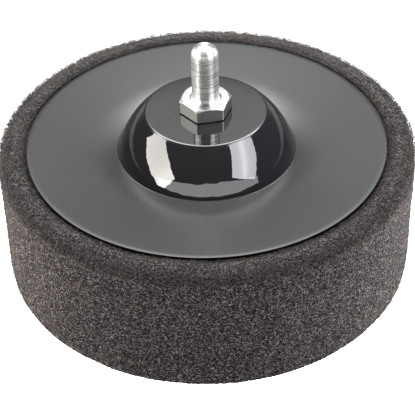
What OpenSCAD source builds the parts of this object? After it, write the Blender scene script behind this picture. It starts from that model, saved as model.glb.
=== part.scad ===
// Polishing pad for an electric drill: an open-cell foam disc glued under a pressed, dished backing plate
// with a flat-topped dome, turned by a plain round shank with a hexagon collar.
// Origin: centre of the foam's working face. +Z: along the shank, towards the drill. Millimetres.

/* [Foam] */
// Diameter of the foam where the plate sits on it
foam_d = 125; // [115:1:150]
// Thickness of the foam at its outer edge
foam_h = 40; // [20:1:60]
// How much wider the foam is at its working face, on the diameter
foam_flare = 1; // [0:0.5:4]
// Radius worn on the foam's two outer edges
foam_edge_r = 1; // [0.5:0.5:4]

/* [Backing plate] */
// Diameter of the backing plate
plate_d = 109; // [104:1:112]
// Thickness of the pressed sheet
sheet_t = 1; // [0.8:0.1:1.2]
// Height of the dome's flat disc above the plate's rim
dome_h = 10.75; // [10:0.25:13]
// Diameter of the bottom of the crease round the dome's foot
foot_d = 54.6; // [52:0.2:58]
// Radius of the bend between the flat disc and the dome's side
disc_edge_r = 1; // [0.6:0.1:2]
// Slope of the dome's side just below the flat disc
dome_top_slope = 42; // [36:1:46]
// Slope of the dome's side at its foot
dome_foot_slope = 71; // [68:1:80]
// Radius of the crease round the dome's foot
crease_r = 0.3; // [0.3:0.1:1.5]
// Slope of the wide, straight part of the dish, down towards the dome
dish_slope = 4; // [3:0.5:5]
// Slope of the dish where it meets the crease
dish_foot_slope = 13; // [10:0.5:15]
// Radius of the bend between those two slopes
dish_bend_r = 56; // [30:2:60]
// Thickness of the adhesive
glue_t = 0.3; // [0.2:0.1:0.6]

/* [Drive shank] */
// Diameter of the plain stud that the chuck grips
stud_d = 8; // [6:1:8]
// Height of the stud's tip above the dome's flat disc
stud_h = 22.5; // [18:0.5:40]
// Corner radius of the stud's domed tip
tip_r = 3.3; // [1:0.1:3.6]
// Width across the flats of the hexagon collar
hex_af = 14; // [13:1:17]
// Height of the hexagon collar, with its washer face
hex_h = 4.5; // [4:0.5:7]
// Turn of the hexagon about the shank
hex_turn = 11; // [0:1:59]
// Radius of the fillet where the stud meets the collar
fillet_r = 0.9; // [0.5:0.1:1.5]

/* [Fasteners inside the dome] */
// Thickness of the flat washer
washer_t = 1.6; // [1:0.1:1.6]
// Thickness of the split spring washer
spring_t = 2; // [1.5:0.1:2]
// Height of the nut
nut_h = 6.5; // [5:0.1:6.5]
// Width across the flats of the nut
nut_af = 13; // [12:0.5:13]

/* [Hidden] */
$fn = 96;

bend_step = 4;
arc_steps = 8;
rim_round_r = 0.2;
rim_bend_r = 5;
rim_flat = 1;
rim_gap = 0.4;
glue_inset = 0.8;
washer_face_h = 0.3;
washer_face_d = hex_af - 1;
hex_chamfer = 30;
thread_pitch = 1.25;
thread_depth = 0.7;
bore_clearance = 0.1;
washer_d = 16;
spring_d = 14.8;
spring_slot = 1.5;

plate_r = plate_d / 2;
rim_z = foam_h + sheet_t;
disc_z = rim_z + dome_h;
ceiling_z = disc_z - sheet_t;
bore_r = stud_d / 2 + bore_clearance;
washer_z = ceiling_z - washer_t;
spring_z = washer_z - spring_t;
nut_z = spring_z - nut_h;
tail_end_z = nut_z - 1.5;

// The plate's section is a chain of bends. Each is written [centre, radius, first slope, last slope]:
// the slope is that of the upper face going inwards, and a hollow bend has a negative radius.
function upward(slope) = [sin(slope), cos(slope)];
function next_centre(bend, radius) = bend[0] + (bend[1] - radius) * upward(bend[3]);
function bend_line(bend, depth) =
    let (steps = ceil(abs(bend[3] - bend[2]) / bend_step) + 3)
    [for (i = [0:steps])
        bend[0] + (bend[1] - depth) * upward(bend[2] + (bend[3] - bend[2]) * i / steps)];
function reversed(points) = [for (i = [len(points) - 1:-1:0]) points[i]];

// From the crease out to the rim the plate rises by the depth of the dish.
foot_r = foot_d / 2;
bend_run = dish_bend_r * (sin(dish_foot_slope) - sin(dish_slope));
straight_run = plate_r - rim_flat - rim_bend_r * sin(dish_slope)
    - bend_run - crease_r * sin(dish_foot_slope) - foot_r;
dish_depth = crease_r * (1 - cos(dish_foot_slope))
    + dish_bend_r * (cos(dish_slope) - cos(dish_foot_slope))
    + straight_run * tan(dish_slope)
    + rim_bend_r * (1 - cos(dish_slope));

// The dome's side is one bend, whose radius makes it reach from the flat disc down to the crease.
dome_side_r = (dome_h + dish_depth
    - disc_edge_r * (1 - cos(dome_top_slope))
    - crease_r * (1 - cos(dome_foot_slope))) / (cos(dome_top_slope) - cos(dome_foot_slope));
disc_r = foot_r - crease_r * sin(dome_foot_slope)
    - dome_side_r * (sin(dome_foot_slope) - sin(dome_top_slope))
    - disc_edge_r * sin(dome_top_slope);

edge_bend = [[disc_r, disc_z - disc_edge_r], disc_edge_r, 0, dome_top_slope];
dome_bend = [next_centre(edge_bend, dome_side_r), dome_side_r, dome_top_slope, dome_foot_slope];
crease_centre = next_centre(dome_bend, -crease_r);
crease_bend = [crease_centre, -crease_r, dome_foot_slope, -dish_foot_slope];
dish_bend = [next_centre(crease_bend, dish_bend_r), dish_bend_r, -dish_foot_slope, -dish_slope];
rim_bend = [[plate_r - rim_flat, rim_z - rim_bend_r], rim_bend_r, -dish_slope, 0];
// The stretch of the crease outside its lowest point, where the foam and the adhesive end.
crease_half = [crease_centre, -crease_r, 0, -dish_foot_slope];

function plate_line(depth) = concat(
    bend_line(edge_bend, depth),
    bend_line(dome_bend, depth),
    bend_line(crease_bend, depth),
    bend_line(dish_bend, depth),
    bend_line(rim_bend, depth)
);
function seat_line(depth) = concat(
    bend_line(crease_half, depth),
    bend_line(dish_bend, depth),
    bend_line(rim_bend, depth)
);

// Quarter of a circle, or any other stretch, as points from one angle to another.
function arc(centre, radius, from, to) = [
    for (i = [0:arc_steps])
        let (a = from + (to - from) * i / arc_steps)
        centre + radius * [cos(a), sin(a)]
];

module foam_pad() {
    top_r = foam_d / 2 - foam_edge_r;
    foot_r = (foam_d + foam_flare) / 2 - foam_edge_r;
    seat = seat_line(sheet_t + glue_t);
    color([0.16, 0.15, 0.145])
        rotate_extrude()
            polygon(concat(
                [[0, 0]],
                arc([foot_r, foam_edge_r], foam_edge_r, -90, 0),
                arc([top_r, foam_h - foam_edge_r], foam_edge_r, 0, 90),
                [[plate_r + rim_gap, foam_h], [plate_r + rim_gap, foam_h - glue_t]],
                reversed(seat),
                [[0, seat[0].y]]
            ));
}

module adhesive_layer() {
    outer_r = plate_r - glue_inset;
    color([0.75, 0.7, 0.55])
        rotate_extrude()
            polygon(concat(
                seat_line(sheet_t),
                [[outer_r, foam_h], [outer_r, foam_h - glue_t]],
                reversed(seat_line(sheet_t + glue_t))
            ));
}

module backing_plate() {
    color([0.03, 0.03, 0.035])
        rotate_extrude()
            polygon(concat(
                [[bore_r, disc_z]],
                plate_line(0),
                reversed(arc([plate_r - rim_round_r, rim_z - rim_round_r], rim_round_r, 0, 90)),
                [[plate_r, foam_h]],
                reversed(plate_line(sheet_t)),
                [[bore_r, ceiling_z]]
            ));
}

// Hexagon with 30 degree chamfers on its upper corners, standing on z = 0.
module chamfered_hexagon(across_flats, height) {
    corner_r = across_flats / 2 / cos(30);
    chamfer_drop = (corner_r - across_flats / 2) * tan(hex_chamfer);
    intersection() {
        cylinder(r = corner_r, h = height, $fn = 6);
        rotate_extrude()
            polygon([
                [0, 0],
                [corner_r + 1, 0],
                [corner_r + 1, height - chamfer_drop - tan(hex_chamfer)],
                [across_flats / 2, height],
                [0, height]
            ]);
    }
}

// Turned outline of the stud above the collar and of the threaded tail below it.
module turned_shank() {
    stud_r = stud_d / 2;
    collar_z = disc_z + hex_h;
    tip_z = disc_z + stud_h - tip_r;
    thread_top_z = ceiling_z - 1;
    turns = floor((thread_top_z - tail_end_z) / thread_pitch) - 1;
    rotate_extrude()
        polygon(concat(
            [[0, tail_end_z], [stud_r - thread_depth - 0.3, tail_end_z]],
            [for (i = [0:turns - 1], step = [0, 1])
                [stud_r - (1 - step) * thread_depth, tail_end_z + (i + 0.4 + step / 2) * thread_pitch]],
            [[stud_r - thread_depth, tail_end_z + (turns + 0.4) * thread_pitch]],
            [[stud_r, thread_top_z], [stud_r, collar_z - 1], [stud_r + fillet_r, collar_z - 1]],
            reversed(arc([stud_r + fillet_r, collar_z + fillet_r], fillet_r, 180, 270)),
            arc([stud_r - tip_r, tip_z], tip_r, 0, 90),
            [[0, disc_z + stud_h]]
        ));
}

module drive_shank() {
    color([0.78, 0.78, 0.8]) {
        turned_shank();
        translate([0, 0, disc_z])
            cylinder(d = washer_face_d, h = washer_face_h);
        translate([0, 0, disc_z + washer_face_h])
            rotate([0, 0, hex_turn])
                chamfered_hexagon(hex_af, hex_h - washer_face_h);
    }
}

module flat_washer() {
    color([0.7, 0.7, 0.72])
        translate([0, 0, washer_z])
            difference() {
                cylinder(d = washer_d, h = washer_t);
                translate([0, 0, -1])
                    cylinder(r = bore_r + 0.1, h = washer_t + 2);
            }
}

module spring_washer() {
    color([0.6, 0.6, 0.62])
        translate([0, 0, spring_z])
            difference() {
                cylinder(d = spring_d, h = spring_t);
                translate([0, 0, -1])
                    cylinder(r = bore_r, h = spring_t + 2);
                translate([0, -spring_slot / 2, -1])
                    cube([spring_d, spring_slot, spring_t + 2]);
            }
}

module hex_nut() {
    color([0.7, 0.7, 0.72])
        translate([0, 0, nut_z])
            difference() {
                chamfered_hexagon(nut_af, nut_h);
                translate([0, 0, -1])
                    cylinder(r = bore_r, h = nut_h + 2);
            }
}

foam_pad();
adhesive_layer();
backing_plate();
drive_shank();
flat_washer();
spring_washer();
hex_nut();
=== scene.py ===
"""A foam polishing pad with a dished gloss black plate and a zinc-plated drive shank."""

import math
import random

import bpy
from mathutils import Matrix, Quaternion, Vector, noise


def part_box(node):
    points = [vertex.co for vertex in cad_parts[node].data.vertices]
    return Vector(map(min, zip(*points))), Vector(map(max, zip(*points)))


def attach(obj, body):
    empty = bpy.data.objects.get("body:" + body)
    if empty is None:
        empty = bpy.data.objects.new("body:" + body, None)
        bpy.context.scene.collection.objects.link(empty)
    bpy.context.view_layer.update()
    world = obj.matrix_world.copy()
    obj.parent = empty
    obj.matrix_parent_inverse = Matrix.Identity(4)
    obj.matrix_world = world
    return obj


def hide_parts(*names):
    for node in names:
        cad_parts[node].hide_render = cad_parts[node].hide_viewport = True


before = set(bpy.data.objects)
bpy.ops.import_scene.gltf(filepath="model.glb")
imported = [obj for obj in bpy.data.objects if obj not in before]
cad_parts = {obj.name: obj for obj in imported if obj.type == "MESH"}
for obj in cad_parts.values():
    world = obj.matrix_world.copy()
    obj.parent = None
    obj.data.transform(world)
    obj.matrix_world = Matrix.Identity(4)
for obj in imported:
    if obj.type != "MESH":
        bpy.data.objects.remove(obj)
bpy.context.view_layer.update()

MM = 0.001

# ---------------------------------------------------------------- sizes, from the frame and the design

foam_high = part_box("foam_pad")[1]
plate_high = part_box("backing_plate")[1]
shank_low, shank_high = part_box("drive_shank")

FOAM_FOOT_R = 63.0 * MM
FOAM_TOP_R = 62.5 * MM
FOAM_H = foam_high[2]
FOAM_EDGE_R = 1.0 * MM
FOAM_SHOULDER_R = 1.4 * MM
FOAM_CROWN = 0.6 * MM
FOAM_PROUD_MM = 0.3

# Struts in each of the two pieces, their lengths and half widths, and the shares of the top piece that
# stand on the shoulder, and on the shoulder or the edge by the plate.
STRUT_COUNT = 24500
STRUT_LENGTH_MM = (0.3, 0.65)
STRUT_WIDTH_MM = (0.05, 0.09)
SHOULDER_SHARE = 0.62
EDGE_SHARE = 0.73

PLATE_R = 54.5 * MM
SHEET_T = 1.0 * MM
GLUE_T = 0.3 * MM
DISC_Z = plate_high[2]
RIM_Z = FOAM_H + SHEET_T
FOOT_R = 27.3 * MM
DISC_EDGE_R = 1.0 * MM
DOME_TOP_SLOPE = 42.0
DOME_FOOT_SLOPE = 71.0
CREASE_R = 0.3 * MM
DISH_SLOPE = 4.0
DISH_FOOT_SLOPE = 13.0
DISH_BEND_R = 56.0 * MM
RIM_BEND_R = 5.0 * MM
RIM_FLAT = 1.0 * MM
BORE_R = 4.1 * MM
RIM_ROUND_R = 0.2 * MM
BEND_STEP = 2.0

STUD_R = 4.0 * MM
STUD_TIP_Z = shank_high[2]
TIP_R = 3.3 * MM
FILLET_R = 0.9 * MM
HEX_HALF = 7.0 * MM
HEX_H = 4.5 * MM
HEX_TURN = 11.0
HEX_CHAMFER = 30.0
WASHER_FACE_R = 6.5 * MM
WASHER_FACE_H = 0.3 * MM
THREAD_PITCH = 1.25 * MM
THREAD_DEPTH = 0.7 * MM
THREAD_TOP_Z = DISC_Z - SHEET_T - 1 * MM
STUD_TAIL_Z = shank_low[2]
HEX_EDGE_R = 0.12 * MM
TURNING_PITCH = 0.3 * MM

# Painted shade: the near-black colour of the foam's pores. Painted highlight: the glints of its struts.
FOAM_PORE_SHADE = (0.003, 0.0026, 0.0026, 1)
FOAM_GLINT = (0.185, 0.164, 0.160, 1)
FOAM_STRUT = (0.018, 0.016, 0.016, 1)
FOAM_STRUT_TIP = (0.066, 0.059, 0.057, 1)
# Painted shade: the share the foam's top is darkened by.
TOP_SHADE = 0.6

ENAMEL = (0.0035, 0.0035, 0.0036, 1)
# Painted light: a lighter, bluer enamel for the plate's +X side.
ENAMEL_PAINTED_LIGHT = (0.0085, 0.0083, 0.0098, 1)
DUST = (0.05, 0.05, 0.05, 1)
PLATING_DARK = (0.35, 0.35, 0.35, 1)
PLATING_LIGHT = (0.70, 0.70, 0.69, 1)
PLATING_PIT = (0.16, 0.16, 0.165, 1)
COLLAR_DARK = (0.31, 0.31, 0.31, 1)
COLLAR_LIGHT = (0.39, 0.39, 0.38, 1)


# ---------------------------------------------------------------- mesh helpers

def sin(degrees):
    return math.sin(math.radians(degrees))


def cos(degrees):
    return math.cos(math.radians(degrees))


def arc(centre_r, centre_z, radius, start, end, steps):
    """Points (r, z) along a circle, from one angle to another, in degrees."""
    angles = [start + (end - start) * i / steps for i in range(steps + 1)]
    return [(centre_r + radius * cos(a), centre_z + radius * sin(a)) for a in angles]


def add_object(name, verts, faces, material, sharp_angle=None):
    mesh = bpy.data.meshes.new(name)
    mesh.from_pydata(verts, [], faces)
    mesh.polygons.foreach_set("use_smooth", [True] * len(mesh.polygons))
    if sharp_angle is not None:
        mesh.set_sharp_from_angle(angle=math.radians(sharp_angle))
    mesh.materials.append(material)
    mesh.update()
    piece = bpy.data.objects.new(name, mesh)
    bpy.context.scene.collection.objects.link(piece)
    return piece


def ring_faces(columns, lower, upper):
    """Quads between two rings of points that start at the given indices."""
    return [
        (lower + k, lower + (k + 1) % columns, upper + (k + 1) % columns, upper + k)
        for k in range(columns)
    ]


def turn(outline, columns, radius_at=None):
    """Turns an outline (r, z) about Z. Where r is 0 the ring closes in one point."""
    verts = []
    faces = []
    rings = []
    for r, z in outline:
        rings.append((len(verts), r > 0))
        if r <= 0:
            verts.append((0.0, 0.0, z))
            continue
        for k in range(columns):
            a = 2 * math.pi * k / columns
            here = radius_at(r, z, a) if radius_at else r
            verts.append((here * math.cos(a), here * math.sin(a), z))
    for (one, one_ring), (two, two_ring) in zip(rings, rings[1:]):
        if one_ring and two_ring:
            faces += ring_faces(columns, one, two)
        elif two_ring:
            faces += [(one, two + (k + 1) % columns, two + k) for k in range(columns)]
        elif one_ring:
            faces += [(one + k, one + (k + 1) % columns, two) for k in range(columns)]
    return verts, faces


# ---------------------------------------------------------------- material helpers

class Nodes:
    """A short way to build a node material. Texture scales are per metre of the piece."""

    def __init__(self, name):
        self.material = bpy.data.materials.new(name)
        self.material.use_nodes = True
        self.tree = self.material.node_tree
        self.shader = self.tree.nodes["Principled BSDF"]
        self.place = self.add("ShaderNodeTexCoord").outputs["Object"]

    def add(self, kind, **settings):
        node = self.tree.nodes.new(kind)
        for key, value in settings.items():
            setattr(node, key, value)
        return node

    def link(self, output, socket):
        self.tree.links.new(output, socket)

    def feed(self, node, socket, value):
        """Links an output, or sets a constant, on a node's socket."""
        if isinstance(value, bpy.types.NodeSocket):
            self.link(value, node.inputs[socket])
        else:
            node.inputs[socket].default_value = value

    def noise(self, scale, detail=2.0, roughness=0.5, place=None):
        node = self.add("ShaderNodeTexNoise")
        self.link(place or self.place, node.inputs["Vector"])
        node.inputs["Scale"].default_value = scale
        node.inputs["Detail"].default_value = detail
        node.inputs["Roughness"].default_value = roughness
        return node.outputs["Fac"]

    def cells(self, scale):
        """Distance from the middle of the nearest cell."""
        node = self.add("ShaderNodeTexVoronoi", feature="F1")
        self.link(self.place, node.inputs["Vector"])
        node.inputs["Scale"].default_value = scale
        return node.outputs["Distance"]

    def speckle(self, scale):
        """A random number from 0 to 1 in each cell."""
        node = self.add("ShaderNodeTexVoronoi")
        self.link(self.place, node.inputs["Vector"])
        node.inputs["Scale"].default_value = scale
        channels = self.add("ShaderNodeSeparateColor")
        self.link(node.outputs["Color"], channels.inputs["Color"])
        return channels.outputs["Red"]

    def ramp(self, value, from_low, from_high, to_low, to_high):
        node = self.add("ShaderNodeMapRange")
        self.link(value, node.inputs["Value"])
        for socket, number in zip(("From Min", "From Max", "To Min", "To Max"),
                                  (from_low, from_high, to_low, to_high)):
            self.feed(node, socket, number)
        return node.outputs["Result"]

    def combine(self, one, two, operation="ADD"):
        node = self.add("ShaderNodeMath", operation=operation)
        self.feed(node, 0, one)
        self.feed(node, 1, two)
        return node.outputs["Value"]

    def mix(self, factor, one, two):
        node = self.add("ShaderNodeMix", data_type="RGBA")
        self.feed(node, "Factor", factor)
        self.feed(node, "A", one)
        self.feed(node, "B", two)
        return node.outputs["Result"]

    def bump(self, height, distance, strength=1.0, normal=None):
        node = self.add("ShaderNodeBump")
        self.link(height, node.inputs["Height"])
        node.inputs["Distance"].default_value = distance
        node.inputs["Strength"].default_value = strength
        if normal:
            self.link(normal, node.inputs["Normal"])
        return node.outputs["Normal"]

    def stretch(self, x, y, z):
        """The object's coordinates, scaled along each axis."""
        node = self.add("ShaderNodeMapping")
        self.link(self.place, node.inputs["Vector"])
        node.inputs["Scale"].default_value = (x, y, z)
        return node.outputs["Vector"]

    def split(self):
        node = self.add("ShaderNodeSeparateXYZ")
        self.link(self.place, node.inputs["Vector"])
        return node.outputs

    def distance_from_axis(self):
        axes = self.split()
        flat = self.add("ShaderNodeCombineXYZ")
        self.link(axes["X"], flat.inputs["X"])
        self.link(axes["Y"], flat.inputs["Y"])
        length = self.add("ShaderNodeVectorMath", operation="LENGTH")
        self.link(flat.outputs["Vector"], length.inputs[0])
        return length.outputs["Value"]


def black_enamel(m):
    """Base colour of the plate's enamel, with specks of dust, and painted light: it is painted a little
    lighter and bluer towards +X.
    """
    dust = m.ramp(m.cells(260), 0.03, 0.06, 1.0, 0.0)
    # Painted light: the enamel turns lighter and bluer towards +X.
    painted_light_side = m.ramp(m.split()["X"], -40 * MM, 50 * MM, 0.0, 1.0)
    enamel = m.mix(painted_light_side, ENAMEL, ENAMEL_PAINTED_LIGHT)
    m.link(m.mix(dust, enamel, DUST), m.shader.inputs["Base Color"])
    m.shader.inputs["IOR"].default_value = 1.5


def gloss_black():
    """The dome's enamel: a mirror, wavy on the drawn side."""
    m = Nodes("gloss_black")
    black_enamel(m)
    edge_r = plate_bends()[0].centre.x
    from_axis = m.distance_from_axis()
    worn = m.ramp(from_axis, edge_r + 0.8 * MM, edge_r + 1.1 * MM, 0.14, 0.03)
    on_edge = m.ramp(from_axis, edge_r - 0.1 * MM, edge_r + 0.1 * MM, 0.03, worn)
    m.link(on_edge, m.shader.inputs["Roughness"])
    waves = m.bump(m.noise(170, 2), 0.00007)
    m.link(m.ramp(from_axis, edge_r, edge_r + 1.5 * MM, 0.1, 1.0), waves.node.inputs["Strength"])
    m.link(waves, m.shader.inputs["Normal"])
    return m.material


def satin_black():
    """The dish's enamel: satin, and a little glossier towards +Y."""
    m = Nodes("satin_black")
    black_enamel(m)
    m.shader.inputs["Specular IOR Level"].default_value = 0.33
    satin = m.ramp(m.split()["Y"], -20 * MM, 20 * MM, 0.28, 0.19)
    m.link(m.combine(satin, m.ramp(m.noise(90, 3), 0.3, 0.7, 0.0, 0.02)), m.shader.inputs["Roughness"])
    m.link(m.bump(m.noise(110, 1), 0.00003, 0.1), m.shader.inputs["Normal"])
    return m.material


def turned_zinc():
    """Zinc plating over a turned surface: fine rings that draw the highlights out along the axis."""
    m = Nodes("turned_zinc")
    grain = m.noise(2400, 2, 0.6)
    rings = m.noise(1, 2, 0.6, m.stretch(90, 90, 2400))
    pits = m.ramp(m.noise(2000, 2, 0.6), 0.34, 0.5, 0.3, 1.0)
    plating = m.mix(m.ramp(rings, 0.35, 0.65, 0.0, 1.0), PLATING_DARK, PLATING_LIGHT)
    m.link(m.mix(pits, PLATING_PIT, plating), m.shader.inputs["Base Color"])
    m.shader.inputs["Metallic"].default_value = 1.0
    m.shader.inputs["Anisotropic"].default_value = 0.85
    m.shader.inputs["Anisotropic Rotation"].default_value = 0.25
    tangent = m.add("ShaderNodeTangent", direction_type="RADIAL", axis="Z")
    m.link(tangent.outputs["Tangent"], m.shader.inputs["Tangent"])
    m.link(m.ramp(grain, 0.3, 0.7, 0.28, 0.4), m.shader.inputs["Roughness"])
    m.link(m.bump(grain, 0.00002, 0.7, m.bump(rings, 0.00002, 0.6)), m.shader.inputs["Normal"])
    return m.material


def drawn_zinc():
    """Zinc plating over the collar's drawn flats."""
    m = Nodes("drawn_zinc")
    grain = m.noise(2600, 3, 0.6)
    scratches = m.noise(1, 3, 0.7, m.stretch(300, 300, 2600))
    turning = m.add("ShaderNodeMath", operation="SINE")
    m.link(m.combine(m.distance_from_axis(), 2 * math.pi / TURNING_PITCH, "MULTIPLY"), turning.inputs[0])
    face = m.bump(turning.outputs[0], 0.000004, 0.6, m.bump(scratches, 0.00001, 0.5))
    m.link(m.mix(m.noise(260, 3), COLLAR_DARK, COLLAR_LIGHT), m.shader.inputs["Base Color"])
    m.shader.inputs["Metallic"].default_value = 1.0
    m.link(m.ramp(grain, 0.3, 0.7, 0.26, 0.4), m.shader.inputs["Roughness"])
    m.link(m.bump(grain, 0.00001, 0.7, face), m.shader.inputs["Normal"])
    return m.material


def painted_top_shade(m):
    """Painted shade: 1 on the foam's side, falling to TOP_SHADE on its top, which is painted darker."""
    return m.ramp(m.split()["Z"], FOAM_H - 0.8 * MM, FOAM_H + 0.2 * MM, 1.0, TOP_SHADE)


def open_cell_foam():
    """Dark open-cell foam with painted light and shade: pores painted black as shade, and glints painted
    where struts catch the light here and there.
    """
    m = Nodes("open_cell_foam")
    # Painted shade in the pores, painted glints in random cells, and painted shade on the top.
    web = m.ramp(m.cells(3000), 0.2, 0.45, 0.3, 1.0)
    glint = m.combine(m.speckle(3300), 4.0, "POWER")
    lit = m.combine(m.combine(web, glint, "MULTIPLY"), painted_top_shade(m), "MULTIPLY")
    m.link(m.mix(lit, FOAM_PORE_SHADE, FOAM_GLINT), m.shader.inputs["Base Color"])
    m.shader.inputs["Roughness"].default_value = 0.9
    m.shader.inputs["Specular IOR Level"].default_value = 0.12
    m.link(m.bump(web, 0.0002, 0.6), m.shader.inputs["Normal"])
    return m.material


def foam_struts():
    """The cell struts that stand proud of the cut foam."""
    m = Nodes("foam_struts")
    # Random tone among the struts, with painted shade on the foam's top.
    lit = m.combine(m.combine(m.speckle(2600), 2.0, "POWER"), painted_top_shade(m), "MULTIPLY")
    m.link(m.mix(lit, FOAM_STRUT, FOAM_STRUT_TIP), m.shader.inputs["Base Color"])
    m.shader.inputs["Roughness"].default_value = 0.7
    m.shader.inputs["Specular IOR Level"].default_value = 0.2
    m.link(m.bump(m.noise(3000, 2), 0.00005, 0.5), m.shader.inputs["Normal"])
    return m.material


def glue():
    m = Nodes("glue")
    blotch = m.noise(300, 3)
    m.link(m.mix(blotch, (0.55, 0.46, 0.28, 1), (0.66, 0.58, 0.38, 1)), m.shader.inputs["Base Color"])
    m.link(m.ramp(blotch, 0.3, 0.7, 0.35, 0.55), m.shader.inputs["Roughness"])
    m.link(m.bump(blotch, 0.0001, 0.6), m.shader.inputs["Normal"])
    return m.material


def plain_steel():
    m = Nodes("plain_steel")
    grain = m.noise(1800, 3, 0.6)
    m.link(m.mix(grain, (0.50, 0.50, 0.50, 1), (0.66, 0.66, 0.65, 1)), m.shader.inputs["Base Color"])
    m.shader.inputs["Metallic"].default_value = 1.0
    m.link(m.ramp(grain, 0.3, 0.7, 0.28, 0.45), m.shader.inputs["Roughness"])
    m.link(m.bump(grain, 0.00001, 0.6), m.shader.inputs["Normal"])
    return m.material


# ---------------------------------------------------------------- backing plate

class Bend:
    """A bend in the plate's section. Slope is that of the upper face going inwards."""

    def __init__(self, centre, radius, first, last):
        self.centre = Vector(centre)
        self.radius = radius
        self.first = first
        self.last = last

    def next_centre(self, radius):
        return self.centre + (self.radius - radius) * Vector((sin(self.last), cos(self.last)))

    def line(self, depth):
        count = math.ceil(abs(self.last - self.first) / BEND_STEP) + 3
        points = []
        for i in range(count + 1):
            slope = self.first + (self.last - self.first) * i / count
            point = self.centre + (self.radius - depth) * Vector((sin(slope), cos(slope)))
            points.append((point.x, point.y))
        return points


def plate_bends():
    """The chain of bends from the flat disc, down the dome and out to the rim."""
    bend_run = DISH_BEND_R * (sin(DISH_FOOT_SLOPE) - sin(DISH_SLOPE))
    straight_run = (PLATE_R - RIM_FLAT - RIM_BEND_R * sin(DISH_SLOPE)
                    - bend_run - CREASE_R * sin(DISH_FOOT_SLOPE) - FOOT_R)
    depth = (CREASE_R * (1 - cos(DISH_FOOT_SLOPE))
             + DISH_BEND_R * (cos(DISH_SLOPE) - cos(DISH_FOOT_SLOPE))
             + straight_run * math.tan(math.radians(DISH_SLOPE))
             + RIM_BEND_R * (1 - cos(DISH_SLOPE)))
    side_height = (DISC_Z - RIM_Z + depth
                   - DISC_EDGE_R * (1 - cos(DOME_TOP_SLOPE)) - CREASE_R * (1 - cos(DOME_FOOT_SLOPE)))
    side_r = side_height / (cos(DOME_TOP_SLOPE) - cos(DOME_FOOT_SLOPE))
    disc_r = (FOOT_R - CREASE_R * sin(DOME_FOOT_SLOPE)
              - side_r * (sin(DOME_FOOT_SLOPE) - sin(DOME_TOP_SLOPE))
              - DISC_EDGE_R * sin(DOME_TOP_SLOPE))
    edge = Bend((disc_r, DISC_Z - DISC_EDGE_R), DISC_EDGE_R, 0, DOME_TOP_SLOPE)
    dome = Bend(edge.next_centre(side_r), side_r, DOME_TOP_SLOPE, DOME_FOOT_SLOPE)
    crease = Bend(dome.next_centre(-CREASE_R), -CREASE_R, DOME_FOOT_SLOPE, -DISH_FOOT_SLOPE)
    dish = Bend(crease.next_centre(DISH_BEND_R), DISH_BEND_R, -DISH_FOOT_SLOPE, -DISH_SLOPE)
    rim = Bend((PLATE_R - RIM_FLAT, RIM_Z - RIM_BEND_R), RIM_BEND_R, -DISH_SLOPE, 0)
    return [edge, dome, crease, dish, rim]


def bends_line(bends, depth):
    """Points along some bends, at a depth below the plate's upper face."""
    points = []
    for bend in bends:
        points += bend.line(depth)
    return points


def make_dome():
    """The plate's dome, with its flat disc and bore, down to the crease."""
    bends = plate_bends()[:2]
    bore = [(BORE_R, DISC_Z - SHEET_T), (BORE_R, DISC_Z - RIM_ROUND_R), (BORE_R + RIM_ROUND_R, DISC_Z)]
    flat = [(BORE_R + (bends[0].centre.x - BORE_R) * i / 4, DISC_Z) for i in range(1, 4)]
    under = list(reversed(bends_line(bends, SHEET_T)))
    verts, faces = turn(bore + flat + bends_line(bends, 0) + under + bore[:1], 360)
    return add_object("plate_dome", verts, faces, gloss_black(), sharp_angle=50)


def make_dish():
    """The plate's dish, from the crease out to the rim."""
    bends = plate_bends()[2:]
    rim = arc(PLATE_R - RIM_ROUND_R, RIM_Z - RIM_ROUND_R, RIM_ROUND_R, 90, 0, 6)
    upper = bends_line(bends, 0)
    under = list(reversed(bends_line(bends, SHEET_T)))
    verts, faces = turn(upper + rim + [(PLATE_R, FOAM_H)] + under + upper[:1], 360)
    return add_object("plate_dish", verts, faces, satin_black(), sharp_angle=50)


# ---------------------------------------------------------------- drive shank

def thread_r(r, z, angle):
    """Radius of the tail's helical thread. Above the thread it is the outline's own radius."""
    if r < STUD_R or z > THREAD_TOP_Z:
        return r
    phase = (z / THREAD_PITCH - angle / (2 * math.pi)) % 1.0
    flank = abs(2 * phase - 1)
    fade = min(1.0, (THREAD_TOP_Z - z) / THREAD_PITCH)
    return r - THREAD_DEPTH * fade * min(max(1.15 * flank - 0.07, 0.0), 1.0)


def make_stud(material):
    """Plain stud with a domed tip, a fillet into the collar, and the threaded tail inside the dome."""
    collar_z = DISC_Z + HEX_H
    tip = list(reversed(arc(STUD_R - TIP_R, STUD_TIP_Z - TIP_R, TIP_R, 0, 90, 14)))
    fillet = arc(STUD_R + FILLET_R, collar_z + FILLET_R, FILLET_R, 180, 270, 10)
    sunk = [
        (STUD_R + FILLET_R, collar_z - 0.3 * MM),
        (STUD_R, collar_z - 1 * MM),
        (STUD_R, THREAD_TOP_Z),
    ]
    rows = 8 * round((THREAD_TOP_Z - STUD_TAIL_Z) / THREAD_PITCH)
    tail = [
        (STUD_R, THREAD_TOP_Z + (STUD_TAIL_Z + 0.5 * MM - THREAD_TOP_Z) * i / rows)
        for i in range(1, rows + 1)
    ]
    end = [(STUD_R - THREAD_DEPTH - 0.4 * MM, STUD_TAIL_Z), (0, STUD_TAIL_Z)]
    outline = [(0, STUD_TIP_Z)] + tip[1:] + fillet + sunk + tail + end
    verts, faces = turn(list(reversed(outline)), 96, thread_r)
    return add_object("stud", verts, faces, material, sharp_angle=30)


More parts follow.
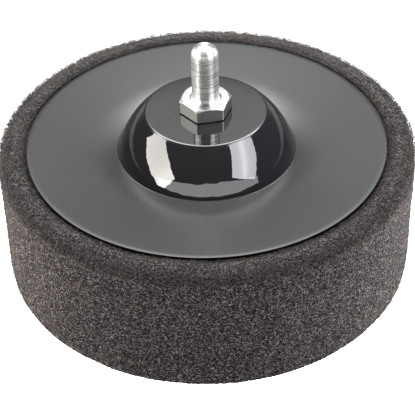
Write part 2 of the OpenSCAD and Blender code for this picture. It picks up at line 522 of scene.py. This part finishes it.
def make_collar(material):
    """Hexagon collar: flats, a conical chamfer above and a washer face below."""
    low_z = DISC_Z + WASHER_FACE_H
    high_z = DISC_Z + HEX_H
    columns = 6 * 24
    inner_r = STUD_R - 0.5 * MM
    verts = []
    for k in range(columns):
        a = math.radians(HEX_TURN) + 2 * math.pi * k / columns
        off = 360 * k / columns % 60 - 30
        side_r = HEX_HALF / cos(off)
        edge_r = min(side_r, HEX_HALF / cos(30) - HEX_EDGE_R)
        chamfer_drop = (edge_r - HEX_HALF) * math.tan(math.radians(HEX_CHAMFER))
        column = [
            (inner_r, DISC_Z), (WASHER_FACE_R, DISC_Z), (WASHER_FACE_R, low_z),
            (edge_r - HEX_EDGE_R, low_z), (edge_r, low_z + HEX_EDGE_R),
            (edge_r, high_z - chamfer_drop - HEX_EDGE_R), (edge_r - HEX_EDGE_R, high_z - chamfer_drop),
            (HEX_HALF - 0.15 * MM, high_z), (inner_r, high_z),
        ]
        verts += [(r * math.cos(a), r * math.sin(a), z) for r, z in column]
    rows = len(column)
    faces = []
    for k in range(columns):
        one = k * rows
        two = (k + 1) % columns * rows
        faces += [(one + i, two + i, two + (i + 1) % rows, one + (i + 1) % rows) for i in range(rows)]
    return add_object("collar", verts, faces, material, sharp_angle=20)


# ---------------------------------------------------------------- foam

def foam_outline():
    """The foam's section from the middle of its underside, up the side, and in to the middle of its seat.

    Each point is (r, z, columns, wildness). Wildness is 1 on cut faces and 0 in the seat under the plate.
    """
    edge = FOAM_EDGE_R
    under = [(0, 0, 1, 0), (8 * MM, 0, 90, 1), (18 * MM, 0, 90, 1), (27 * MM, 0, 180, 1)]
    under += [(r * MM, 0, 180, 1) for r in (32, 37, 42)]
    under += [(r * MM, 0, 360, 1) for r in (46, 49, 52, 55, 57.5)]
    under += [((59.5 + 0.75 * i) * MM, 0, 720, 1) for i in range(3)]
    foot = arc(FOAM_FOOT_R - edge, edge, edge, -90, 0, 4)
    side_rows = 72
    side = [
        (FOAM_FOOT_R + (FOAM_TOP_R - FOAM_FOOT_R) * i / side_rows,
         edge + (FOAM_H - edge - FOAM_SHOULDER_R) * i / side_rows)
        for i in range(1, side_rows)
    ]
    shoulder = arc(FOAM_TOP_R - FOAM_SHOULDER_R, FOAM_H - FOAM_SHOULDER_R, FOAM_SHOULDER_R, 0, 90, 5)
    inner_r = PLATE_R + 0.7 * MM
    outer_r = FOAM_TOP_R - FOAM_SHOULDER_R
    top_rows = 12
    top = [
        (outer_r + (inner_r - outer_r) * i / top_rows, FOAM_H + FOAM_CROWN * sin(180 * i / top_rows))
        for i in range(1, top_rows)
    ]
    seat_line = list(reversed(bends_line(plate_bends()[2:], SHEET_T + GLUE_T)))
    seat = [(inner_r, FOAM_H - 0.9 * MM, 720, 0), (PLATE_R - 1.2 * MM, FOAM_H - 0.9 * MM, 360, 0)]
    seat += [(r, z, 360, 0) for r, z in seat_line[::3] if FOOT_R + 1 * MM < r < PLATE_R - 4 * MM]
    floor_z = seat[-1][1] - 0.2 * MM
    seat += [(FOOT_R, floor_z, 180, 0), (14 * MM, floor_z, 90, 0), (0, floor_z, 1, 0)]
    return under + [(r, z, 720, 1) for r, z in foot + side + shoulder + top] + seat


def foam_push(point):
    """How far the cut foam stands proud of its outline at a point, in metres."""
    p = point / MM
    lumps = noise.noise(p * 0.08) * 0.22 + noise.noise(p * 0.35) * 0.08
    near = noise.voronoi(p * 1.2)[0][0]
    cell = (near - 0.45) * 0.3
    fray = noise.noise(p * 1.7) * 0.15
    return (FOAM_PROUD_MM + lumps + cell + fray) * MM


def joined_rings(lower, lower_columns, upper, upper_columns):
    """Faces between two rings that have the same columns, or where one has half or one point."""
    if lower_columns == upper_columns:
        return ring_faces(lower_columns, lower, upper)
    if lower_columns == 1:
        return [(lower, upper + (k + 1) % upper_columns, upper + k) for k in range(upper_columns)]
    if upper_columns == 1:
        return [(lower + k, lower + (k + 1) % lower_columns, upper) for k in range(lower_columns)]
    faces = []
    few, many = sorted((lower_columns, upper_columns))
    coarse, fine = (lower, upper) if lower_columns == few else (upper, lower)
    for k in range(few):
        one, two = coarse + k, coarse + (k + 1) % few
        a, b, c = fine + 2 * k, fine + 2 * k + 1, fine + (2 * k + 2) % many
        wedge = [(one, b, a), (one, two, b), (two, c, b)]
        faces += wedge if coarse == lower else [face[::-1] for face in wedge]
    return faces


def make_foam():
    """The foam disc: a closed mesh whose cut faces are rough and whose seat follows the plate."""
    outline = foam_outline()
    verts = []
    faces = []
    starts = []
    count = len(outline)
    for ring, (r, z, columns, wildness) in enumerate(outline):
        starts.append(len(verts))
        before = Vector(outline[max(ring - 1, 0)][:2])
        after = Vector(outline[min(ring + 1, count - 1)][:2])
        along = (after - before).normalized()
        for k in range(columns):
            a = 2 * math.pi * k / columns
            here = Vector((r * math.cos(a), r * math.sin(a), z))
            if wildness and columns > 1:
                out = Vector((math.cos(a), math.sin(a), 0))
                normal = out * along.y - Vector((0, 0, along.x))
                here += normal * foam_push(here) * wildness
                here.z = max(here.z, 0.0)
            verts.append(here)
    for ring in range(count - 1):
        faces += joined_rings(starts[ring], outline[ring][2], starts[ring + 1], outline[ring + 1][2])
    return add_object("foam_disc", verts, faces, open_cell_foam())


def add_strut(verts, faces, middle, along, out, length, width):
    """A thin three-sided strut, closed at both ends."""
    across = along.cross(out).normalized()
    start = len(verts)
    for end in (-0.5, 0.5):
        centre = middle + along * length * end
        for turn_to in (90, 210, 330):
            verts.append(centre + across * width * cos(turn_to) + out * width * sin(turn_to))
    faces += [(start, start + 2, start + 1), (start + 3, start + 4, start + 5)]
    faces += [(start + k, start + (k + 1) % 3, start + 3 + (k + 1) % 3, start + 3 + k) for k in range(3)]


def side_place(draw, out):
    """A place on the foam's side: the point, its normal, and a strut's tilt and stand-off there."""
    z = draw.uniform(FOAM_EDGE_R, FOAM_H - FOAM_SHOULDER_R)
    r = FOAM_FOOT_R + (FOAM_TOP_R - FOAM_FOOT_R) * z / FOAM_H
    return out * r + Vector((0, 0, z)), out, 0.5, draw.uniform(0.05, 0.25) * MM


def top_place(draw, out):
    """The same on the foam's shoulder, on the edge by the plate, or on the ring between them."""
    shoulder_r = FOAM_TOP_R - FOAM_SHOULDER_R
    up = Vector((0, 0, 1))
    part = draw.random()
    if part < SHOULDER_SHARE:
        slope = draw.uniform(-10, 95)
        normal = out * cos(slope) + up * sin(slope)
        centre = out * shoulder_r + up * (FOAM_H - FOAM_SHOULDER_R)
        return centre + normal * FOAM_SHOULDER_R, normal, 1.6, draw.uniform(0.1, 0.85) * MM
    if part < EDGE_SHARE:
        r = PLATE_R + draw.uniform(0.9, 1.3) * MM
        return out * r + up * FOAM_H, up, 0.8, draw.uniform(0.1, 0.4) * MM
    r = draw.uniform(PLATE_R + 0.8 * MM, shoulder_r)
    return out * r + up * (FOAM_H + FOAM_CROWN / 2), up, 0.6, draw.uniform(0.1, 0.4) * MM


def make_struts(name, choose_place, seed, material):
    """Cell struts that stand a little proud of the cut foam."""
    draw = random.Random(seed)
    verts = []
    faces = []
    for _ in range(STRUT_COUNT):
        a = draw.uniform(0, 2 * math.pi)
        out = Vector((math.cos(a), math.sin(a), 0))
        place, normal, tilt, stand = choose_place(draw, out)
        spin = draw.uniform(0, 2 * math.pi)
        sideways = Vector((-out.y, out.x, 0))
        upwards = normal.cross(sideways)
        along = sideways * math.cos(spin) + upwards * math.sin(spin) + normal * draw.uniform(-tilt, tilt)
        add_strut(verts, faces, place + normal * (foam_push(place) + stand), along.normalized(), normal,
                  draw.uniform(*STRUT_LENGTH_MM) * MM, draw.uniform(*STRUT_WIDTH_MM) * MM)
    return add_object(name, verts, faces, material)


# ---------------------------------------------------------------- stage, lights and camera

# Share of the wall's peak brightness by the sine of the elevation, and how the wall ends sideways.
WALL_PEAK = 5.0
WALL_LEVELS = [
    (0.0, 0.024), (0.45, 0.024), (0.53, 0.04), (0.57, 0.31), (0.61, 0.38), (0.65, 0.76), (0.72, 1.0),
]
WALL_SPREAD = 0.95
WALL_EDGE = [(0.0, 0.0), (0.08, 1.0)]
OVERHEAD_PEAK = 16.0
OVERHEAD_EDGE = [(0.71, 0.0), (0.78, 1.0)]
OVERHEAD_BOW = 0.12
OVERHEAD_FRONT = [(0.0, 0.0), (0.3, 1.0)]
DIFFUSE_CUT = 0.9
ROOM_LEVEL = 0.08
LEFT_GRADE = [(0.0, 0.7), (0.6, 0.8), (0.85, 1.0), (1.0, 0.95)]
RIGHT_GRADE = [(0.0, 0.72), (0.35, 0.78), (0.5, 1.0), (0.65, 0.8), (1.0, 0.62)]

# The floor's glow for the camera and for every other ray.
FLOOR_SEEN = 2.5
FLOOR_GLOW = 0.06

# Azimuth, elevation, distance, width, height, radiance, colour and, if any, turn about the lamp's axis.
LAMPS = {
    "left_box": (-107, 22, 1.0, 1.1, 0.48, 20.5, (1.0, 0.97, 0.91), -27),
    "right_box": (122, 33, 1.0, 0.57, 0.83, 18, (0.95, 0.96, 1.0), -32),
    "front_card": (180, 8, 0.8, 3.0, 0.28, 4.8, (1.0, 0.985, 1.0)),
    "stud_card": (180, 8, 0.8, 2.2, 0.28, 2.2, (1.0, 1.0, 1.0)),
    "left_rim": (-60, 5, 1.0, 0.9, 0.5, 4.0, (1.0, 1.0, 1.0)),
    "right_rim": (65, 5, 1.0, 0.9, 0.5, 4.0, (1.0, 1.0, 1.0)),
    "dish_wall": (0, 14, 1.2, 2.4, 0.5, 1.2, (1.0, 1.0, 1.0)),
    "left_fill": (-68, 4, 1.0, 0.8, 0.3, 84, (1.0, 0.92, 0.86)),
    "right_fill": (70, 4, 1.0, 0.8, 0.3, 88, (1.0, 0.97, 0.97)),
    "front_fill": (180, 4, 1.0, 0.8, 0.3, 12, (1.0, 0.96, 0.97)),
    "back_fill": (0, 6, 1.0, 1.2, 0.3, 40, (1.0, 0.97, 0.95)),
}

CAMERA_SENSOR = 36.0
CAMERA_LENS = 112.45
CAMERA_AIM = (-0.0002, 0, 13.75 * MM)
CAMERA_DISTANCE = 0.411
CAMERA_PITCH = 39.57
CAMERA_ROLL = -1.36


def studio_world():
    """Soft studio surroundings: a bright wall behind, a glow overhead, and a dim room in front."""
    world = bpy.data.worlds.new("studio")
    bpy.context.scene.world = world
    world.use_nodes = True
    tree = world.node_tree

    def add(kind, **settings):
        node = tree.nodes.new(kind)
        for key, value in settings.items():
            setattr(node, key, value)
        return node

    def math_node(operation, one, two):
        node = add("ShaderNodeMath", operation=operation)
        for socket, value in zip(node.inputs, (one, two)):
            if isinstance(value, bpy.types.NodeSocket):
                tree.links.new(value, socket)
            else:
                socket.default_value = value
        return node.outputs["Value"]

    def ramp(value, stops):
        node = add("ShaderNodeValToRGB")
        tree.links.new(value, node.inputs["Fac"])
        elements = node.color_ramp.elements
        while len(elements) < len(stops):
            elements.new(0.5)
        for element, (position, level) in zip(elements, stops):
            element.position = position
            element.color = (level, level, level, 1)
        return node.outputs["Color"]

    place = add("ShaderNodeTexCoord")
    axes = add("ShaderNodeSeparateXYZ")
    tree.links.new(place.outputs["Generated"], axes.inputs["Vector"])
    sideways = math_node("ABSOLUTE", axes.outputs["X"], 0)
    within = math_node("SUBTRACT", axes.outputs["Y"], math_node("MULTIPLY", sideways, WALL_SPREAD))
    wall = ramp(within, WALL_EDGE)
    high = axes.outputs["Z"]
    wall_level = math_node("MULTIPLY", ramp(high, WALL_LEVELS), WALL_PEAK)
    bowed = math_node("ADD", high, math_node("MULTIPLY", sideways, OVERHEAD_BOW))
    overhead = ramp(bowed, OVERHEAD_EDGE)
    forward = ramp(axes.outputs["Y"], OVERHEAD_FRONT)
    overhead_level = math_node("MULTIPLY", math_node("MULTIPLY", overhead, forward), OVERHEAD_PEAK)
    wall_light = math_node("MULTIPLY", wall, wall_level)
    full_level = math_node("ADD", math_node("MAXIMUM", wall_light, overhead_level), ROOM_LEVEL)
    path = add("ShaderNodeLightPath")
    cut = math_node("SUBTRACT", 1, math_node("MULTIPLY", path.outputs["Is Diffuse Ray"], DIFFUSE_CUT))
    level = math_node("MULTIPLY", full_level, cut)
    dim = tree.nodes["Background"]
    tree.links.new(level, dim.inputs["Strength"])
    dim.inputs["Color"].default_value = (1, 1, 1, 1)
    seen = add("ShaderNodeBackground")
    seen.inputs["Color"].default_value = (1, 1, 1, 1)
    mix = add("ShaderNodeMixShader")
    tree.links.new(path.outputs["Is Camera Ray"], mix.inputs["Fac"])
    tree.links.new(dim.outputs[0], mix.inputs[1])
    tree.links.new(seen.outputs[0], mix.inputs[2])
    tree.links.new(mix.outputs[0], tree.nodes["World Output"].inputs["Surface"])


def make_floor():
    """Plain white floor. It glows evenly for the camera, and far more faintly for every other ray."""
    mesh = bpy.data.meshes.new("floor")
    half = 3.0
    corners = [(-half, -half, 0), (half, -half, 0), (half, half, 0), (-half, half, 0)]
    mesh.from_pydata(corners, [], [(0, 1, 2, 3)])
    m = Nodes("floor_white")
    m.link(m.mix(m.noise(4, 2), (0.14, 0.14, 0.14, 1), (0.15, 0.15, 0.15, 1)), m.shader.inputs["Base Color"])
    m.shader.inputs["Roughness"].default_value = 0.9
    m.shader.inputs["Emission Color"].default_value = (1, 1, 1, 1)
    path = m.add("ShaderNodeLightPath")
    glow = m.ramp(path.outputs["Is Camera Ray"], 0.0, 1.0, FLOOR_GLOW, FLOOR_SEEN)
    m.link(glow, m.shader.inputs["Emission Strength"])
    mesh.materials.append(m.material)
    floor = bpy.data.objects.new("floor", mesh)
    bpy.context.scene.collection.objects.link(floor)


def direction(azimuth, elevation):
    """Unit vector to a place in the studio: azimuth 0 is +Y, behind the pad, and 90 is +X."""
    return Vector((sin(azimuth) * cos(elevation), cos(azimuth) * cos(elevation), sin(elevation)))


def group(name, members):
    collection = bpy.data.collections.new(name)
    for member in members:
        collection.objects.link(member)
    return collection


def softbox(name, azimuth, elevation, distance, width, height, radiance, colour, turn_by=0.0):
    """A rectangular light of the given radiance that faces the pad."""
    light = bpy.data.lights.new(name, "AREA")
    light.shape = "RECTANGLE"
    light.size = width
    light.size_y = height
    light.energy = radiance * width * height * math.pi
    light.color = colour
    lamp = bpy.data.objects.new(name, light)
    aim = Vector((0, 0, 0.04))
    lamp.location = aim + direction(azimuth, elevation) * distance
    look = (aim - lamp.location).to_track_quat("-Z", "Y")
    lamp.rotation_mode = "QUATERNION"
    lamp.rotation_quaternion = look @ Quaternion((0, 0, 1), math.radians(turn_by))
    bpy.context.scene.collection.objects.link(lamp)
    return lamp


def grade(lamp, stops):
    """Grades a softbox across its width: each stop is a place from 0 to 1 and a level."""
    lamp.data.use_nodes = True
    tree = lamp.data.node_tree
    place = tree.nodes.new("ShaderNodeNewGeometry")
    axes = tree.nodes.new("ShaderNodeSeparateXYZ")
    levels = tree.nodes.new("ShaderNodeFloatCurve")
    curve = levels.mapping.curves[0]
    while len(curve.points) < len(stops):
        curve.points.new(0.5, 0.5)
    for point, (position, level) in zip(curve.points, stops):
        point.location = (position, level)
    levels.mapping.update()
    tree.links.new(place.outputs["Parametric"], axes.inputs["Vector"])
    tree.links.new(axes.outputs["X"], levels.inputs["Value"])
    tree.links.new(levels.outputs["Value"], tree.nodes["Emission"].inputs["Strength"])


def make_lights(dome, dish, stud, collar, foam_pieces):
    """Softboxes that show in the gloss, a low wall for the dish alone, and fills for the foam alone.

    Only the foam blocks the low wall, so the dome doesn't shade the dish from it.
    """
    gloss = group("gloss", [dome, stud, collar])
    boxes = [softbox(name, *LAMPS[name]) for name in ("left_box", "right_box")]
    for box, stops in zip(boxes, (LEFT_GRADE, RIGHT_GRADE)):
        box.light_linking.receiver_collection = gloss
        grade(box, stops)
    front_card = softbox("front_card", *LAMPS["front_card"])
    front_card.light_linking.receiver_collection = group("front_lit", [dome, collar] + foam_pieces)
    stud_card = softbox("stud_card", *LAMPS["stud_card"])
    stud_card.light_linking.receiver_collection = group("stud_only", [stud])
    zinc = group("zinc", [stud, collar])
    for name in ("left_rim", "right_rim"):
        rim = softbox(name, *LAMPS[name])
        rim.light_linking.receiver_collection = zinc
    dish_wall = softbox("dish_wall", *LAMPS["dish_wall"])
    # A reflected ray would be stopped by the dome, so this lamp is sampled only as a lamp.
    dish_wall.data.cycles.use_multiple_importance_sampling = False
    dish_wall.light_linking.receiver_collection = group("dish_only", [dish])
    dish_wall.light_linking.blocker_collection = group("dish_blockers", foam_pieces)
    foam_only = group("foam_only", foam_pieces)
    for name in ("left_fill", "right_fill", "front_fill", "back_fill"):
        fill = softbox(name, *LAMPS[name])
        fill.light_linking.receiver_collection = foam_only


def make_camera():
    camera = bpy.data.cameras.new("camera")
    camera.sensor_width = CAMERA_SENSOR
    camera.lens = CAMERA_LENS
    view = bpy.data.objects.new("camera", camera)
    forward = Vector((0, cos(CAMERA_PITCH), -sin(CAMERA_PITCH)))
    view.location = Vector(CAMERA_AIM) - forward * CAMERA_DISTANCE
    view.rotation_mode = "QUATERNION"
    roll = Quaternion((0, 0, 1), math.radians(CAMERA_ROLL))
    view.rotation_quaternion = forward.to_track_quat("-Z", "Y") @ roll
    bpy.context.scene.collection.objects.link(view)
    bpy.context.scene.camera = view


# ---------------------------------------------------------------- the object

make_camera()
studio_world()
bpy.context.scene.view_settings.view_transform = "Standard"

dome = make_dome()
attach(dome, "root")
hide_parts("backing_plate")
dish = make_dish()
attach(dish, "root")

collar = make_collar(drawn_zinc())
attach(collar, "root")
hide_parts("drive_shank")
stud = make_stud(turned_zinc())
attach(stud, "root")

foam = make_foam()
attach(foam, "root")
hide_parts("foam_pad")
strut_finish = foam_struts()
side_struts = make_struts("foam_side_struts", side_place, 7, strut_finish)
top_struts = make_struts("foam_top_struts", top_place, 11, strut_finish)
for struts in (side_struts, top_struts):
    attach(struts, "root")

INNER_FINISHES = {"adhesive_layer": glue(), "flat_washer": plain_steel(),
                  "spring_washer": plain_steel(), "hex_nut": plain_steel()}
for node, finish in INNER_FINISHES.items():
    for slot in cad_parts[node].material_slots:
        slot.material = finish

make_floor()
make_lights(dome, dish, stud, collar, [foam, side_struts, top_struts])
